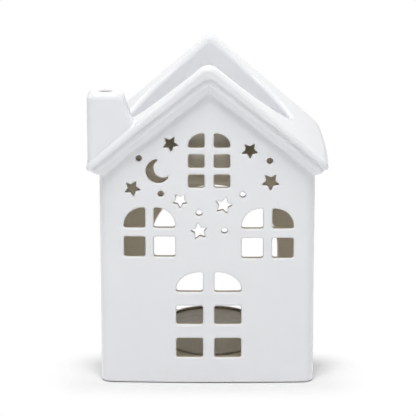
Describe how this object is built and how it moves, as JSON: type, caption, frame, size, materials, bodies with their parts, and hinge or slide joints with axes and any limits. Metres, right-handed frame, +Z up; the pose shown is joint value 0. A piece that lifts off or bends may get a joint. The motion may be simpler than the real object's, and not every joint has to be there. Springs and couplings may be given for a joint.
{
  "type": "oil burner",
  "caption": "House-shaped porcelain oil burner: a sunk oil well in the roof, cut-out door, windows, stars and moon, a rear candle opening and a tealight inside.",
  "frame": {"origin": "middle of the base, on the surface that the house stands on", "axes": "+Z up, -Y the front with the door and windows, +X to the right as the front is seen"},
  "size_m": [0.106, 0.095, 0.1413],
  "materials": {
    "glazed_porcelain": "glossy white glaze",
    "aluminium_foil": "bright pressed foil",
    "paraffin_wax": "smooth wax",
    "tinplate": "plain tinned sheet",
    "cotton": "waxed braid"
  },
  "bodies": {
    "house": {"house_walls": "glazed_porcelain", "roof_with_oil_well": "glazed_porcelain", "chimney": "glazed_porcelain"},
    "tealight": {"tealight_cup": "aluminium_foil", "tealight_wax": "paraffin_wax", "wick_sustainer": "tinplate", "tealight_wick": "cotton"}
  },
  "joints": [
    {"name": "tealight_out", "type": "slide", "parent": "house", "child": "tealight", "axis": [0, 0.9613, 0.2756], "range_m": [0, 0.073]}
  ]
}
